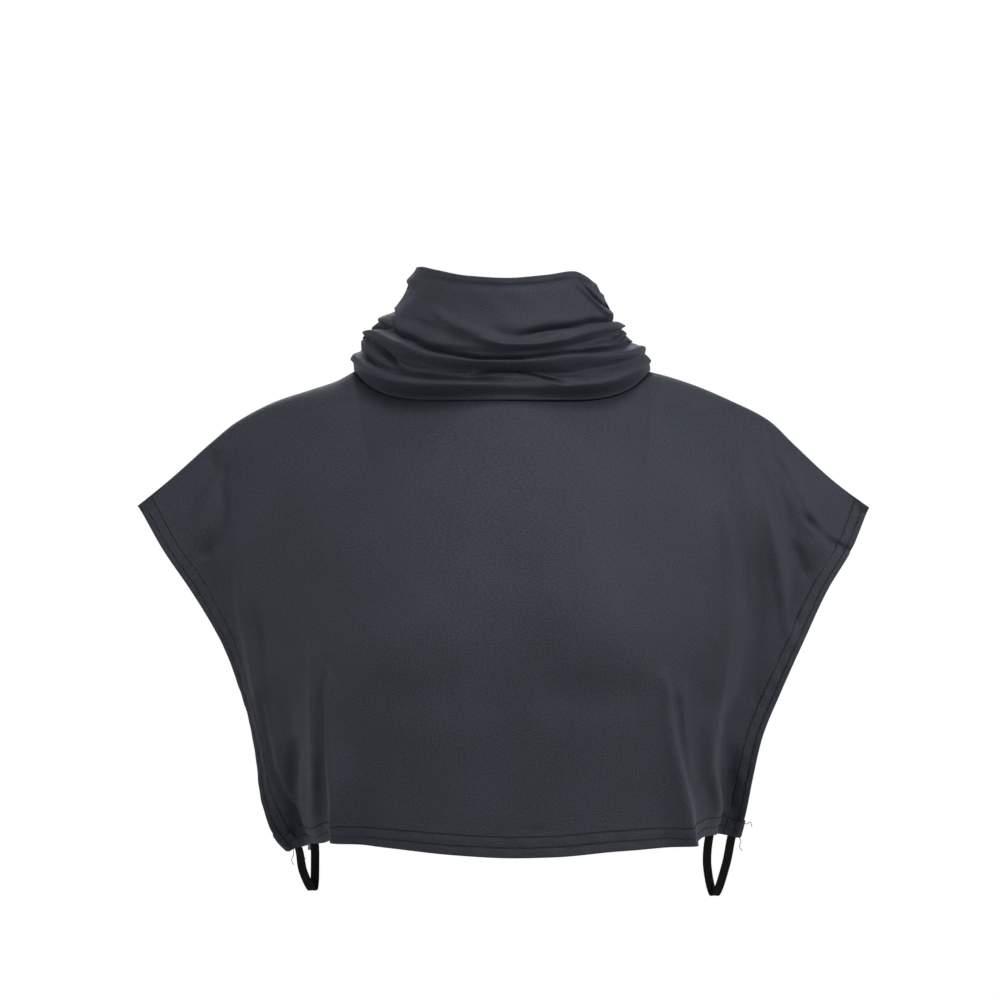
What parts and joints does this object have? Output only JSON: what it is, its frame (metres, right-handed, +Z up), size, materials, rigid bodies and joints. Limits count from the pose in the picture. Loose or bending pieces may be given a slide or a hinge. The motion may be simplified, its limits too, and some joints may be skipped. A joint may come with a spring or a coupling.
{
  "type": "detachable turtleneck dickey collar",
  "caption": "Sleeveless stretch-jersey dickey with a high ruched collar, hemmed armholes and an elastic loop under each arm.",
  "frame": {"origin": "middle of the neck base, on the level where the collar is sewn to the shoulder seams", "axes": "+X to the right as seen from the front, across the shoulders; the front faces -Y; +Z up"},
  "size_m": [0.528, 0.2321, 0.4486],
  "materials": {
    "jersey": "dark slate-grey fine single jersey, smooth with a faint satin sheen",
    "elastic": "black flat elastic braid with lengthwise ribs"
  },
  "bodies": {
    "root": {"front_panel": "jersey", "back_panel": "jersey", "collar_front": "jersey", "collar_back": "jersey", "elastic_loop_left": "elastic", "elastic_loop_right": "elastic"}
  },
  "joints": []
}
